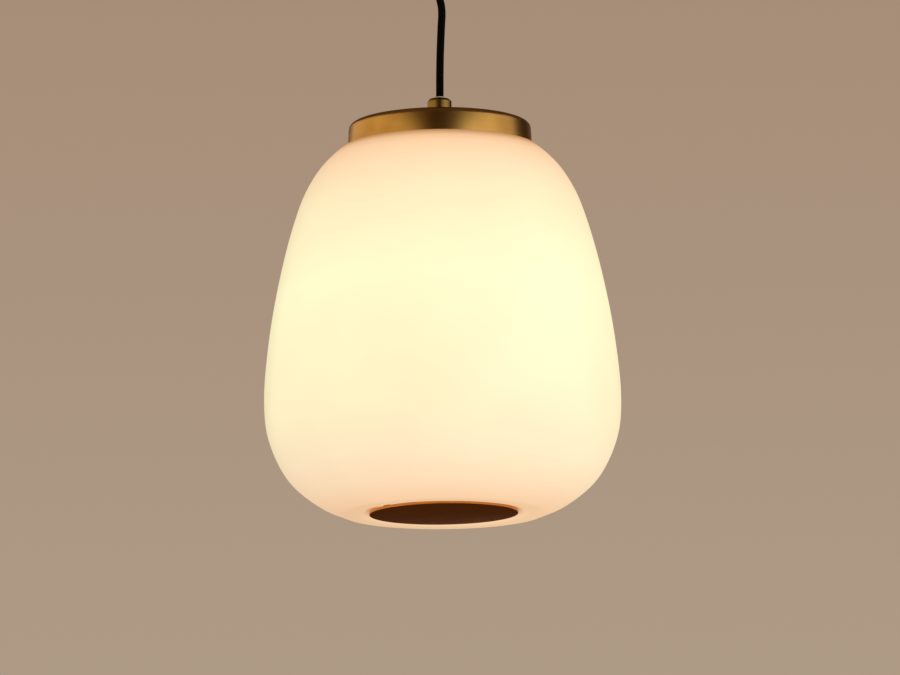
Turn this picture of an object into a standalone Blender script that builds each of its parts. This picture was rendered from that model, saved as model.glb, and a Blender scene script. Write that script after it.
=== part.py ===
"""Pendant ceiling light: opal glass shade under a shallow brass cap, hung on its cord from a ceiling canopy.

Frame: +Z up, origin in the ceiling plane, at the middle of the ceiling bracket's top face. Heights in
the lamp are counted up from the lower face of the bottom disc. Figures are millimetres until mm() makes
them metres.
"""

import math

import bmesh
import bpy
from mathutils import Euler, Matrix, Vector

# ---- driving dimensions, mm ----
CANOPY_RADIUS = 55.0
CANOPY_HEIGHT = 38.0
CANOPY_WALL = 1.2
HANGING_GAP = 120.0  # canopy floor down to the top of the brass cap
CORD_RADIUS = 3.0
CAP_TOP = 310.4  # height of the brass cap's top above the bottom disc's lower face
CAP_BOTTOM = 291.6
CAP_RADIUS = 72.7
CAP_DRAFT = 1.0  # how much the cap narrows from its rim to its top
CAP_WALL = 1.2
CAP_FILLET = 3.0
GRIP_RADIUS = 9.5
GRIP_HEIGHT = 20.5
GLASS_TOP = 291.3
GLASS_WALL = 3.5
GLASS_TOP_HOLE = 21.0
GLASS_BOTTOM_HOLE = 54.5
# points that the outside of the glass runs through, radius and height, from the shoulder down to the foot
GLASS_OUTLINE = [
    (77.0, 291.0),
    (85.6, 283.5),
    (95.4, 273.0),
    (106.2, 255.0),
    (115.6, 230.0),
    (127.2, 186.0),
    (136.2, 135.0),
    (140.0, 87.0),
    (136.6, 59.0),
    (121.3, 28.0),
    (97.3, 8.0),
    (79.0, -0.6),
]
DISC_RADIUS = 58.3
DISC_THICK = 2.0
HOLDER_TOP = 279.5
BULB_TOP = 247.8
BULB_RADIUS = 30.0
BULB_CENTRE = 172.0

# ---- fits, mm ----
GAP = 0.3  # between faces that touch
THREAD_RADIUS = 4.95  # M10 nipple
THREAD_BORE = 5.3
CORE_RADIUS = 0.9  # an insulated core of the cord

CANOPY_FLOOR = -CANOPY_HEIGHT
LAMP_FOOT = CANOPY_FLOOR - HANGING_GAP - CAP_TOP  # ceiling to the bottom disc's lower face
CANOPY_GRIP_LENGTH = 12.0
CANOPY_GRIP_RADIUS = 8.0
CANOPY_GRIP_FOOT = CANOPY_FLOOR - CANOPY_GRIP_LENGTH
SWING_POINT = CANOPY_GRIP_FOOT - 0.6  # the cord bends here, just under the canopy's grip
GRIP_TOP = CAP_TOP + GAP + GRIP_HEIGHT
COLLET_TOP = GRIP_TOP + 0.5
CORD_END = LAMP_FOOT + COLLET_TOP + GAP
# sideways set of the cord along its hang: height in the ceiling frame, offset along X
CORD_START = SWING_POINT - CORD_RADIUS - GAP
CORD_ROUTE = [
    (CORD_START, 0.0),
    (-62.0, 0.9),
    (-76.0, 1.9),
    (-94.0, 1.9),
    (-114.0, 1.0),
    (-128.0, 0.2),
    (CORD_END, 0.0),
]

# ---- sides of a turned piece ----
FINE = 40
MEDIUM = 24
SMALL = 16

for old in list(bpy.data.objects):
    bpy.data.objects.remove(old, do_unlink=True)

parts = bpy.data.collections.new("pendant_ceiling_light")
cutters = bpy.data.collections.new("cutters")
for made in (parts, cutters):
    bpy.context.scene.collection.children.link(made)
cutters.hide_render = True


# ---- helpers ----
def mm(*values):
    scaled = tuple(value * 0.001 for value in values)
    return scaled[0] if len(scaled) == 1 else scaled


def finish(name, colour, roughness, metallic=0.0):
    material = bpy.data.materials.new(name)
    material.use_nodes = True
    surface = material.node_tree.nodes["Principled BSDF"]
    surface.inputs["Base Color"].default_value = (*colour, 1.0)
    surface.inputs["Roughness"].default_value = roughness
    surface.inputs["Metallic"].default_value = metallic
    return material


def empty(name, height=0.0, parent=None):
    axis = bpy.data.objects.new(name, None)
    axis.empty_display_size = 0.02
    parts.objects.link(axis)
    axis.parent = parent
    axis.location = (0, 0, mm(height))
    return axis


def add(name, mesh, material, parent, at=(0, 0, 0), turn=(0, 0, 0)):
    body = bpy.data.objects.new(name, mesh)
    parts.objects.link(body)
    if material:
        body.data.materials.append(material)
    body.parent = parent
    body.location = mm(*at)
    body.rotation_euler = Euler([math.radians(angle) for angle in turn])
    return body


def add_cutter(name, mesh, parent, at=(0, 0, 0), turn=(0, 0, 0)):
    tool = bpy.data.objects.new(name, mesh)
    cutters.objects.link(tool)
    tool.parent = parent
    tool.location = mm(*at)
    tool.rotation_euler = Euler([math.radians(angle) for angle in turn])
    tool.hide_render = True
    tool.display_type = "WIRE"
    return tool


def cut(body, tool):
    hole = body.modifiers.new("cut_" + tool.name, "BOOLEAN")
    hole.operation = "DIFFERENCE"
    hole.object = tool


def smooth(mesh, angle=35.0):
    mesh.shade_smooth()
    mesh.set_sharp_from_angle(angle=math.radians(angle))


def turned_mesh(name, outline):
    """A mesh of one loop of edges in the XZ plane, or an open line when both its ends lie on the axis."""
    mesh = bpy.data.meshes.new(name)
    points = [(mm(radius), 0.0, mm(height)) for radius, height in outline]
    edges = [(index, index + 1) for index in range(len(points) - 1)]
    if outline[0][0] > 0:
        edges.append((len(points) - 1, 0))
    mesh.from_pydata(points, edges, [])
    return mesh


def spin(body, steps):
    turn = body.modifiers.new("turn", "SCREW")
    turn.steps = steps
    turn.render_steps = steps
    turn.use_merge_vertices = True
    turn.merge_threshold = 0.00001
    turn.use_smooth_shade = True


def turned(name, outline, material, parent, at=(0, 0, 0), turn=(0, 0, 0), steps=MEDIUM):
    body = add(name, turned_mesh(name, outline), material, parent, at, turn)
    spin(body, steps)
    return body


def ring(outer, inner, bottom, top):
    return [(outer, top), (outer, bottom), (inner, bottom), (inner, top)]


def arc(centre, radius, start, end, count=6):
    """Points round part of a circle in the XZ plane, angles in degrees from +X."""
    points = []
    for step in range(count + 1):
        angle = math.radians(start + (end - start) * step / count)
        points.append((centre[0] + radius * math.cos(angle), centre[1] + radius * math.sin(angle)))
    return points


def through(points, per_span):
    """A smooth curve through the points, as a Catmull-Rom spline with chord-length knots."""
    vectors = [Vector(point) for point in points]
    ends = [2 * vectors[0] - vectors[1], *vectors, 2 * vectors[-1] - vectors[-2]]
    curve = []
    for index in range(1, len(ends) - 2):
        a, b, c, d = ends[index - 1 : index + 3]
        knots = [0.0]
        for near, far in ((a, b), (b, c), (c, d)):
            knots.append(knots[-1] + math.sqrt((far - near).length))
        for step in range(per_span):
            t = knots[1] + (knots[2] - knots[1]) * step / per_span
            ab = a.lerp(b, (t - knots[0]) / (knots[1] - knots[0]))
            bc = b.lerp(c, (t - knots[1]) / (knots[2] - knots[1]))
            cd = c.lerp(d, (t - knots[2]) / (knots[3] - knots[2]))
            abc = ab.lerp(bc, (t - knots[0]) / (knots[2] - knots[0]))
            bcd = bc.lerp(cd, (t - knots[1]) / (knots[3] - knots[1]))
            curve.append(abc.lerp(bcd, (t - knots[1]) / (knots[2] - knots[1])))
    curve.append(vectors[-1])
    return curve


def cylinder_mesh(name, radius, length, segments=SMALL, places=((0, 0, 0),), turn=(0, 0, 0)):
    """Cylinders centred on each place, along Z before the turn."""
    mesh = bpy.data.meshes.new(name)
    shape = bmesh.new()
    spun = Euler([math.radians(angle) for angle in turn]).to_matrix().to_4x4()
    for place in places:
        bmesh.ops.create_cone(
            shape,
            cap_ends=True,
            segments=segments,
            radius1=mm(radius),
            radius2=mm(radius),
            depth=mm(length),
            matrix=Matrix.Translation(mm(*place)) @ spun,
        )
    shape.to_mesh(mesh)
    shape.free()
    return mesh


def box_mesh(name, size, places=((0, 0, 0),)):
    mesh = bpy.data.meshes.new(name)
    shape = bmesh.new()
    for place in places:
        stretch = Matrix.Diagonal((*mm(*size), 1))
        bmesh.ops.create_cube(shape, size=1.0, matrix=Matrix.Translation(mm(*place)) @ stretch)
    shape.to_mesh(mesh)
    shape.free()
    return mesh


def wire(name, points, radius, material, parent, per_span=3, sides=2):
    """A cord or core: a tube along a smooth curve through the points."""
    line = bpy.data.curves.new(name, "CURVE")
    line.dimensions = "3D"
    line.bevel_depth = mm(radius)
    line.bevel_resolution = sides
    line.use_fill_caps = True
    curve = through(points, per_span)
    spline = line.splines.new("POLY")
    spline.points.add(len(curve) - 1)
    for point, place in zip(spline.points, curve):
        point.co = (*mm(*place), 1.0)
    return add(name, line, material, parent)


def strip(name, outline, width, material, parent, at=(0, 0, 0), turn=(0, 0, 0)):
    """A flat outline in the XZ plane, with its width along Y."""
    line = bpy.data.curves.new(name, "CURVE")
    line.dimensions = "2D"
    line.fill_mode = "BOTH"
    line.extrude = mm(width / 2)
    spline = line.splines.new("POLY")
    spline.points.add(len(outline) - 1)
    for point, (across, height) in zip(spline.points, outline):
        point.co = (*mm(across, height), 0.0, 1.0)
    spline.use_cyclic_u = True
    body = add(name, line, material, parent)
    upright = Matrix.Rotation(math.radians(90), 4, "X")
    mesh = bpy.data.meshes.new_from_object(body.evaluated_get(bpy.context.evaluated_depsgraph_get()))
    shape = bmesh.new()
    shape.from_mesh(mesh)
    bmesh.ops.remove_doubles(shape, verts=shape.verts, dist=0.00001)
    bmesh.ops.transform(shape, matrix=upright, verts=shape.verts)
    bmesh.ops.recalc_face_normals(shape, faces=shape.faces)
    shape.to_mesh(mesh)
    shape.free()
    bpy.data.objects.remove(body)
    mesh.materials.clear()
    return add(name, mesh, material, parent, at, turn)


def band(middle, thick):
    """The outline of a thin strip that follows the middle line."""
    left = []
    right = []
    for index, point in enumerate(middle):
        before = Vector(middle[max(index - 1, 0)])
        after = Vector(middle[min(index + 1, len(middle) - 1)])
        along = (after - before).normalized()
        across = Vector((-along.y, along.x)) * (thick / 2)
        left.append(tuple(Vector(point) + across))
        right.append(tuple(Vector(point) - across))
    return left + right[::-1]


def hex_nut(name, across_flats, bore, thick, height, material, parent):
    corner = across_flats / 2 / math.cos(math.radians(30))
    nut = add(name, cylinder_mesh(name, corner, thick, 6), material, parent, (0, 0, height + thick / 2))
    cut(nut, add_cutter(name + "_bore", cylinder_mesh(name + "_bore", bore, thick + 2), nut))
    return nut


def slotted_screw(name, outline, slot_width, slot_depth):
    """A turned screw along +Z with its head on top and a slot across the head."""
    blank = add(name, turned_mesh(name, outline), None, ceiling)
    spin(blank, 16)
    top = max(height for radius, height in outline)
    across = 2 * max(radius for radius, height in outline) + 1
    slot_mesh = box_mesh(name + "_slot", (across, slot_width, 2 * slot_depth))
    slot = add_cutter(name + "_slot", slot_mesh, blank, (0, 0, top))
    cut(blank, slot)
    mesh = bpy.data.meshes.new_from_object(blank.evaluated_get(bpy.context.evaluated_depsgraph_get()))
    bpy.data.objects.remove(slot)
    bpy.data.objects.remove(blank)
    mesh.materials.clear()
    smooth(mesh)
    return mesh


def screws(name, outline, slot, places, turn, material, parent):
    """Screws of one kind, each its own object, all sharing one mesh. The slot is (width, depth)."""
    mesh = slotted_screw(name, outline, *slot)
    mesh.materials.append(material)
    for index, place in enumerate(places):
        label = name if len(places) == 1 else f"{name}_{index + 1}"
        angles = turn[index] if isinstance(turn, list) else turn
        add(label, mesh, None, parent, place, angles)


# ---- materials ----
brass = finish("aged_brass", (0.55, 0.36, 0.13), 0.3, 1.0)
dark_brass = finish("shaded_brass", (0.30, 0.18, 0.07), 0.35, 1.0)
bright_brass = finish("bright_brass", (0.72, 0.55, 0.25), 0.3, 1.0)
opal = finish("opal_glass", (0.95, 0.88, 0.74), 0.35)
frosted = finish("frosted_bulb_glass", (0.95, 0.92, 0.85), 0.4)
clear = finish("clear_glass", (0.9, 0.92, 0.92), 0.1)
black = finish("black_cord_jacket", (0.015, 0.014, 0.013), 0.6)
phenolic = finish("black_phenolic", (0.02, 0.018, 0.016), 0.35)
ceramic = finish("white_ceramic", (0.85, 0.84, 0.8), 0.25)
nylon = finish("natural_nylon", (0.8, 0.78, 0.7), 0.45)
steel = finish("zinc_plated_steel", (0.62, 0.62, 0.6), 0.35, 1.0)
rubber = finish("white_rubber", (0.7, 0.69, 0.65), 0.7)
live = finish("brown_core", (0.2, 0.08, 0.03), 0.5)
neutral = finish("blue_core", (0.05, 0.12, 0.4), 0.5)
earth = finish("green_yellow_core", (0.35, 0.5, 0.08), 0.5)
spring = finish("spring_bronze", (0.6, 0.42, 0.22), 0.35, 1.0)
tungsten = finish("tungsten", (0.35, 0.34, 0.33), 0.4, 1.0)

# ---- axes that the pieces hang on and move about ----
ceiling = empty("ceiling")
swing = empty("swing_point", SWING_POINT, ceiling)
lamp = empty("lamp_axis", LAMP_FOOT - SWING_POINT, swing)
disc_axis = empty("disc_axis", 0.0, lamp)
bulb_axis = empty("bulb_axis", 0.0, lamp)


# ---- ceiling side ----
def make_bracket():
    half = 52.0
    plate = 1.5
    tab = 16.0
    outline = [
        (-half, 0),
        (-half, -tab),
        (-half + plate, -tab),
        (-half + plate, -plate),
        (half - plate, -plate),
        (half - plate, -tab),
        (half, -tab),
        (half, 0),
    ]
    bracket = strip("ceiling_bracket", outline, 20, steel, ceiling)
    ceiling_holes = cylinder_mesh("ceiling_holes", 2.6, 8, SMALL, ((-32, 0, 0), (32, 0, 0)))
    cut(bracket, add_cutter("ceiling_holes", ceiling_holes, ceiling))
    tab_holes = cylinder_mesh("tab_holes", 2.2, 8, SMALL, ((-half, 0, -10), (half, 0, -10)), (0, 90, 0))
    cut(bracket, add_cutter("tab_holes", tab_holes, ceiling))
    earth_hole = cylinder_mesh("earth_hole", 1.9, 8, SMALL, ((-18, 0, 0),))
    cut(bracket, add_cutter("earth_hole", earth_hole, ceiling))
    pan_head = [(0, 0.2), (3.2, 0.2), (3.2, -1.5), (1.6, -1.5), (1.6, -3.0), (0, -3.0)]
    screws("bracket_earth_screw", pan_head, (0.8, 0.7), [(-18, 0, -3.3)], (180, 0, 0), bright_brass, ceiling)


def make_terminal_block():
    pitch = 9.0
    middle = 24.0
    poles = [middle - pitch, middle, middle + pitch]
    depth = 8.0
    block_mesh = box_mesh("terminal_block", (28, 18, 12))
    block = add("terminal_block", block_mesh, ceramic, ceiling, (middle, 0, -8.2))
    wire_holes = cylinder_mesh("wire_holes", 1.9, 30, SMALL, [(x, 0, -depth) for x in poles], (90, 0, 0))
    cut(block, add_cutter("wire_holes", wire_holes, ceiling))
    seats = [(x, y, -13.0) for x in poles for y in (-5.0, 5.0)]
    cut(block, add_cutter("screw_seats", cylinder_mesh("screw_seats", 2.1, 5.0, SMALL, seats), ceiling))
    grub = [(0, 1.5), (1.7, 1.5), (1.7, -1.5), (0, -1.5)]
    places = [(x, y, -12.2) for x, y, z in seats]
    screws("terminal_screw", grub, (0.6, 0.8), places, (180, 0, 0), bright_brass, ceiling)


def make_canopy():
    corner = 5.0
    inner = corner - CANOPY_WALL
    centre = (CANOPY_RADIUS - corner, CANOPY_FLOOR + corner)
    outline = [(CANOPY_RADIUS, -GAP)]
    outline += arc(centre, corner, 0, -90)
    outline += [(THREAD_BORE, CANOPY_FLOOR), (THREAD_BORE, CANOPY_FLOOR + CANOPY_WALL)]
    outline += arc(centre, inner, -90, 0)
    outline += [(CANOPY_RADIUS - CANOPY_WALL, -GAP)]
    canopy = turned("ceiling_canopy", outline, brass, ceiling, steps=FINE)
    sides = cylinder_mesh("canopy_side_holes", 2.3, 2 * CANOPY_RADIUS + 8, SMALL, ((0, 0, -10),), (0, 90, 0))
    cut(canopy, add_cutter("canopy_side_holes", sides, ceiling))
    head = [(0, 3.2), (2.6, 3.2), (4.0, 2.2), (4.0, 0), (1.9, 0), (1.9, -9.5), (0, -9.5)]
    seat = CANOPY_RADIUS + GAP
    places = [(seat, 0, -10), (-seat, 0, -10)]
    screws("canopy_screw", head, (1.0, 1.0), places, [(0, 90, 0), (0, -90, 0)], brass, ceiling)


def make_canopy_grip():
    bore = CORD_RADIUS + 0.4
    foot = CANOPY_GRIP_FOOT
    outline = [
        (THREAD_RADIUS, CANOPY_FLOOR + 9.5),
        (THREAD_RADIUS, CANOPY_FLOOR - GAP),
        (CANOPY_GRIP_RADIUS, CANOPY_FLOOR - GAP),
        (CANOPY_GRIP_RADIUS, foot + 1.5),
        (CANOPY_GRIP_RADIUS - 1.5, foot),
        (bore + 0.8, foot),
        (bore, foot + 0.8),
        (bore, CANOPY_FLOOR + 9.5),
    ]
    grip = turned("canopy_grip", outline, brass, ceiling)
    height = foot + 6.0
    hole = cylinder_mesh("canopy_grip_hole", 1.8, 8, SMALL, ((0, 7, height),), (90, 0, 0))
    cut(grip, add_cutter("canopy_grip_hole", hole, ceiling))
    grub = [(0, 4.3), (1.5, 4.3), (1.5, 0), (0, 0)]
    screws("canopy_grip_screw", grub, (0.6, 0.8), [(0, bore + 0.1, height)], (-90, 0, 0), steel, ceiling)
    hex_nut("canopy_grip_nut", 14, THREAD_BORE, 3.0, CANOPY_FLOOR + CANOPY_WALL + GAP, steel, ceiling)


def make_upper_wiring():
    top = -25.0
    foot = SWING_POINT + CORD_RADIUS + 0.4
    wire("cord_upper_end", [(0, 0, foot), (0, 0, -36), (0, 0, top)], CORD_RADIUS, black, ceiling, per_span=1)
    start = top + GAP
    entry = -10.6  # just inside the mouth of the block's wire holes
    to_live = [(1.3, -0.8, start), (1.4, -0.9, -23), (5, -7, -17), (13, -14, -11)]
    to_live += [(15, -13, -8.4), (15, entry, -8)]
    to_neutral = [(-1.3, -0.8, start), (-1.4, -1.2, -23), (4, -12, -19), (20, -16, -12)]
    to_neutral += [(24, -14, -8.4), (24, entry, -8)]
    to_earth = [(0, 1.5, start), (0, 1.6, -23), (-6, 5, -17), (-15, 6.5, -9)]
    to_earth += [(-18, 5.2, -5), (-18, 4.6, -3.4)]
    wire("upper_live_wire", to_live, CORE_RADIUS, live, ceiling)
    wire("upper_neutral_wire", to_neutral, CORE_RADIUS, neutral, ceiling)
    wire("upper_earth_wire", to_earth, CORE_RADIUS, earth, ceiling)


# ---- cord ----
def make_cord():
    """The stretch that bends where the cord leaves the canopy's grip is a ball about the swing point."""
    ball = bpy.data.meshes.new("power_cord_bend")
    shape = bmesh.new()
    bmesh.ops.create_uvsphere(shape, u_segments=12, v_segments=8, radius=mm(CORD_RADIUS))
    shape.to_mesh(ball)
    shape.free()
    smooth(ball)
    add("power_cord_bend", ball, black, swing)
    route = [(offset, 0, height - SWING_POINT) for height, offset in CORD_ROUTE]
    wire("power_cord", route, CORD_RADIUS, black, swing)


# ---- cap and suspension ----
def make_cord_grip():
    foot = CAP_TOP + GAP
    chamfer = 2.2
    mouth = 4.5
    collet = 6.3
    ledge = foot + 9.0
    outline = [
        (GRIP_RADIUS - chamfer, GRIP_TOP),
        (GRIP_RADIUS, GRIP_TOP - chamfer),
        (GRIP_RADIUS, foot),
        (THREAD_BORE, foot),
        (THREAD_BORE, ledge),
        (collet, ledge),
        (collet, GRIP_TOP - 2.6),
        (mouth, GRIP_TOP - 0.9),
        (mouth, GRIP_TOP),
    ]
    grip = turned("cord_grip", outline, brass, lamp)
    height = foot + 13.0
    hole = cylinder_mesh("cord_grip_hole", 1.8, 8, SMALL, ((0, 9, height),), (90, 0, 0))
    cut(grip, add_cutter("cord_grip_hole", hole, lamp))
    grub = [(0, 2.8), (1.5, 2.8), (1.5, 0), (0, 0)]
    screws("cord_grip_screw", grub, (0.6, 0.8), [(0, collet, height)], (-90, 0, 0), steel, lamp)
    bore = CORD_RADIUS + 0.35
    sleeve = [
        (mouth - GAP, COLLET_TOP),
        (mouth - GAP, GRIP_TOP - 1.2),
        (collet - GAP, GRIP_TOP - 3.0),
        (collet - GAP, ledge + GAP),
        (bore, ledge + GAP),
        (bore, COLLET_TOP),
    ]
    turned("cord_grip_collet", sleeve, nylon, lamp)
    return ledge


def make_cap():
    top_radius = CAP_RADIUS - CAP_DRAFT
    centre = (top_radius - CAP_FILLET, CAP_TOP - CAP_FILLET)
    inner = CAP_FILLET - CAP_WALL
    outline = [(THREAD_BORE, CAP_TOP)]
    outline += arc(centre, CAP_FILLET, 90, 0)
    outline += [(CAP_RADIUS, CAP_BOTTOM), (CAP_RADIUS - CAP_WALL, CAP_BOTTOM)]
    outline += arc(centre, inner, 0, 90)
    outline += [(THREAD_BORE, CAP_TOP - CAP_WALL)]
    turned("shade_cap", outline, brass, lamp, steps=FINE)
    under = CAP_TOP - CAP_WALL - GAP
    turned("cap_washer", ring(9.0, THREAD_BORE, under - 0.8, under), steel, lamp, steps=24)
    hex_nut("cap_nut", 14, THREAD_BORE, 3.0, under - 0.8 - GAP - 3.0, steel, lamp)


def make_nipple(top):
    outline = ring(THREAD_RADIUS, CORD_RADIUS + 0.5, HOLDER_TOP - 6.0, top - GAP)
    turned("threaded_nipple", outline, steel, lamp, steps=24)


def make_glass_fixing():
    under = GLASS_TOP - GLASS_WALL - GAP
    collar = GLASS_TOP_HOLE - GAP
    gasket = [
        (collar, GLASS_TOP - 0.5),
        (collar, under),
        (31.0, under),
        (31.0, under - 1.5),
        (collar - 2.2, under - 1.5),
        (collar - 2.2, GLASS_TOP - 0.5),
    ]
    turned("glass_gasket", gasket, rubber, lamp)
    plate_top = under - 1.5 - GAP
    turned("retaining_plate", ring(33.0, THREAD_BORE, plate_top - 1.5, plate_top), steel, lamp, steps=40)
    washer_top = plate_top - 1.5 - GAP
    turned("plate_washer", ring(9.0, THREAD_BORE, washer_top - 0.8, washer_top), steel, lamp, steps=24)
    nut_top = washer_top - 0.8 - GAP
    hex_nut("plate_nut", 14, THREAD_BORE, 3.0, nut_top - 3.0, steel, lamp)


# ---- glass ----
def glass_outline():
    """From the edge of the top hole, over the shoulder and down the side, to the lip of the bottom hole."""
    side = [(point.x, point.y) for point in through(GLASS_OUTLINE, 2)]
    shoulder = side[0][0]
    top = [(GLASS_TOP_HOLE, GLASS_TOP), (shoulder - 2.0, GLASS_TOP)]
    foot = [(69.0, -0.2), (60.0, 2.2), (GLASS_BOTTOM_HOLE, 2.6)]
    return top + side + foot


def make_glass():
    mesh = bpy.data.meshes.new("glass_shade")
    points = [(mm(radius), 0.0, mm(height)) for radius, height in glass_outline()]
    mesh.from_pydata(points, [(index, index + 1) for index in range(len(points) - 1)], [])
    glass = add("glass_shade", mesh, opal, lamp)
    spin(glass, FINE)
    wall = glass.modifiers.new("wall", "SOLIDIFY")
    wall.thickness = mm(GLASS_WALL)
    wall.offset = -1.0
    wall.use_even_offset = True


# ---- lampholder ----
def make_holder():
    skirt = HOLDER_TOP - 24.5
    wall = 2.0
    crown = [(8.0, 0.0), (15.0, -1.3), (19.5, -6.0), (21.0, -13.5), (21.0, -24.5)]
    lining = [(21.0 - wall, -24.5), (21.0 - wall, -13.5), (17.6, -7.3), (13.8, -3.3), (THREAD_BORE, -2.2)]
    lining.append((THREAD_BORE, 0.0))
    outline = [(radius, HOLDER_TOP + drop) for radius, drop in crown + lining]
    turned("holder_cap", outline, phenolic, lamp)
    body_top = skirt + 7.0
    body_foot = skirt - 30.0
    outline = [
        (21.0 - wall - 0.4, body_top),
        (21.0 - wall - 0.4, skirt - GAP),
        (21.0, skirt - GAP),
        (20.0, body_foot),
        (15.6, body_foot),
        (15.6, body_top),
    ]
    turned("holder_body", outline, phenolic, lamp)
    insert_foot = BULB_TOP + 3.7
    insert_top = body_top - 2.0
    outline = [(0, insert_top), (12.0, insert_top), (15.2, insert_top - 2.0)]
    outline += [(15.2, insert_foot), (0, insert_foot)]
    turned("holder_insert", outline, ceramic, lamp)
    shell_top = insert_foot - GAP
    lip = shell_top - 0.8
    outline = [(14.9, shell_top), (14.9, body_foot + 1.5), (14.1, body_foot + 1.5), (14.1, lip), (10.5, lip)]
    turned("holder_thread", outline + [(10.5, shell_top)], bright_brass, lamp)
    tongue = [(-8.5, shell_top - 0.3), (-4.0, shell_top - 0.4), (-1.5, 1.0), (1.5, 0.7), (4.5, 1.6)]
    tongue[2:] = [(across, BULB_TOP + rise) for across, rise in tongue[2:]]
    strip("holder_contact", band(tongue, 0.5), 5.0, spring, lamp)
    head = [(0, 1.6), (2.4, 1.6), (2.4, 0), (0, 0)]
    seat = insert_top + GAP
    places = [(7.5, 0, seat), (-7.5, 0, seat)]
    screws("holder_screw", head, (0.7, 0.7), places, (0, 0, 90), bright_brass, lamp)
    return seat


def make_lower_wiring(seat):
    foot = HOLDER_TOP - 7.5
    inside = [(0, 0, foot), (0, 0, 300), (0, 0, COLLET_TOP)]
    wire("cord_lower_end", inside, CORD_RADIUS, black, lamp, per_span=1)
    start = foot - GAP
    stop = seat + 2.6
    for label, side, material in (("lower_live_wire", 1, live), ("lower_neutral_wire", -1, neutral)):
        route = [(1.3, 0, start), (1.5, 0.2, start - 1.8), (5.0, 1.2, start - 4.0)]
        route += [(7.3, 0.4, start - 6.0), (7.5, 0, stop)]
        mirrored = [(side * x, side * y, height) for x, y, height in route]
        wire(label, mirrored, CORE_RADIUS, material, lamp, per_span=2)


# ---- bulb ----
def make_bulb():
    contact_foot = BULB_TOP - 1.4
    outline = [(0, BULB_TOP), (3.6, BULB_TOP - 0.3), (4.6, contact_foot), (0, contact_foot)]
    turned("bulb_contact", outline, steel, bulb_axis, steps=SMALL)
    insulator_top = contact_foot - GAP
    base_top = insulator_top - 3.2
    outline = [(0, insulator_top), (5.5, insulator_top), (11.8, base_top), (0, base_top)]
    turned("bulb_insulator", outline, phenolic, bulb_axis, steps=24)
    shell_top = base_top - GAP
    base_length = 24.6
    pitch = 3.63
    base_foot = shell_top - base_length
    outline = [(10.5, shell_top), (12.3, shell_top - 0.6)]
    for turn_count in range(5):
        height = shell_top - 2.0 - pitch * turn_count
        outline += [(12.5, height), (13.2, height - pitch * 0.5)]
    outline += [(12.7, base_foot), (12.2, base_foot), (12.0, shell_top - 1.2), (10.5, shell_top - 0.8)]
    turned("bulb_base", outline, bright_brass, bulb_axis)
    neck_top = shell_top - 8.0
    neck = 11.7
    blend = 40.0
    start = 50.0  # degrees above the globe's middle where its neck begins
    wall = 1.0
    outside = [(neck, neck_top), (neck, base_foot + 1.0), (neck + 2.0, BULB_CENTRE + blend)]
    outside += arc((0, BULB_CENTRE), BULB_RADIUS, start, -90, 9)[:-1]
    outside.append((0, BULB_CENTRE - BULB_RADIUS))
    inside = [(0, BULB_CENTRE - BULB_RADIUS + wall)]
    inside += arc((0, BULB_CENTRE), BULB_RADIUS - wall, -90, start, 9)[1:]
    inside += [(neck + 2.0 - wall, BULB_CENTRE + blend), (neck - wall, base_foot + 1.0)]
    inside.append((neck - wall, neck_top))
    globe = bpy.data.meshes.new("bulb_globe")
    points = [(mm(radius), 0.0, mm(height)) for radius, height in outside + inside]
    tip = len(outside) - 1
    edges = [(index, index + 1) for index in range(len(points) - 1) if index != tip]
    edges.append((len(points) - 1, 0))
    globe.from_pydata(points, edges, [])
    spin(add("bulb_globe", globe, frosted, bulb_axis), MEDIUM)
    stem_top = neck_top - 1.5
    stem_foot = BULB_CENTRE + 21.0
    stem = [(0, stem_top), (9.5, stem_top), (9.5, stem_top - 1.2), (3.2, stem_top - 5.0)]
    stem += [(2.2, stem_foot + 1.0), (0, stem_foot)]
    turned("bulb_stem", stem, clear, bulb_axis, steps=SMALL)
    zigzag = [(-12, 0, 12), (-6, 3, 6), (0, 0, 10), (6, 3, 6), (12, 0, 12)]
    filament = [(across, deep, BULB_CENTRE + rise) for across, deep, rise in zigzag]
    wire("bulb_filament", filament, 0.5, tungsten, bulb_axis, per_span=2)


# ---- bottom disc ----
def make_disc():
    edge = 0.9
    outline = [(0, DISC_THICK), (DISC_RADIUS - 0.3, DISC_THICK), (DISC_RADIUS, DISC_THICK - 0.3)]
    outline += arc((DISC_RADIUS - edge, edge), edge, 0, -90, 4)
    outline += [(0, 0)]
    turned("bottom_disc", outline, dark_brass, disc_axis, steps=FINE)
    reach = GLASS_BOTTOM_HOLE - 0.9
    foot = DISC_THICK + 0.6
    bend = [(-16, 0), (-4, 0), (-1.2, 1.2), (0, 5), (0, 10), (-3.5, 17)]
    middle = [(reach + across, foot + rise) for across, rise in bend]
    for index in range(3):
        turn = (0, 0, 90 + 120 * index)
        strip(f"disc_clip_{index + 1}", band(middle, 0.6), 8.0, spring, disc_axis, turn=turn)


make_bracket()
make_terminal_block()
make_canopy()
make_canopy_grip()
make_upper_wiring()
make_cord()
ledge_height = make_cord_grip()
make_cap()
make_nipple(ledge_height)
make_glass_fixing()
make_glass()
terminal_seat = make_holder()
make_lower_wiring(terminal_seat)
make_bulb()
make_disc()
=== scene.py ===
import math

import bmesh
import bpy
from mathutils import Euler, Matrix, Vector


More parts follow.
